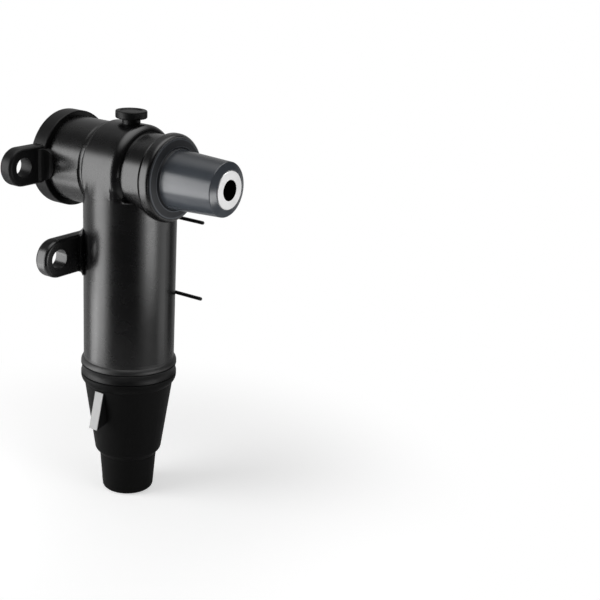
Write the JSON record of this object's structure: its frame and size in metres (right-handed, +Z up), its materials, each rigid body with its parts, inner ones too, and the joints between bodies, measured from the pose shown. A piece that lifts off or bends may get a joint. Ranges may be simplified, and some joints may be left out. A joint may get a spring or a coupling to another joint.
{
  "type": "separable coupling connector",
  "caption": "Screened tee connector for a medium-voltage cable, with a plug cone that couples it to a second tee, a capped rear arm and a cable adapter.",
  "frame": {"origin": "centre of the contact bore's mouth, at the tip of the plug cone", "axes": "+X along the tee axis, out of the plug cone; +Z up, so the cable leg hangs along -Z; both pulling eyes point to -Y"},
  "size_m": [0.1945, 0.1198, 0.3456],
  "materials": {
    "jacket_rubber": "satin moulded conductive rubber",
    "cap_rubber": "satin moulded conductive rubber",
    "adapter_rubber": "satin moulded conductive rubber",
    "insulation_rubber": "smooth moulded insulating rubber",
    "screen_rubber": "matt moulded conductive rubber",
    "stress_rubber": "smooth moulded insulating rubber",
    "plated_copper": "silver plated",
    "lug_alloy": "tinned and machined",
    "steel": "turned stainless steel",
    "tap_brass": "turned brass",
    "plug_resin": "cast epoxy resin",
    "plate_grey": "light grey plate"
  },
  "bodies": {
    "root": {"outer_jacket": "jacket_rubber", "insulation_body": "insulation_rubber", "inner_screen": "screen_rubber", "contact_sleeve": "plated_copper", "cable_lug": "lug_alloy", "shear_bolts": "tap_brass", "clamping_stud": "steel", "flat_washer": "steel", "spring_washer": "steel", "stud_nut": "steel", "rear_plug": "plug_resin", "plug_insert": "tap_brass", "voltage_tap": "tap_brass", "rear_cap": "cap_rubber", "test_electrode": "tap_brass", "test_point_cap": "cap_rubber", "lock_ring": "cap_rubber", "adapter_body": "adapter_rubber", "adapter_insulation": "stress_rubber", "fin_plate": "plate_grey", "upper_screen_pin": "jacket_rubber", "lower_screen_pin": "jacket_rubber"}
  },
  "joints": []
}
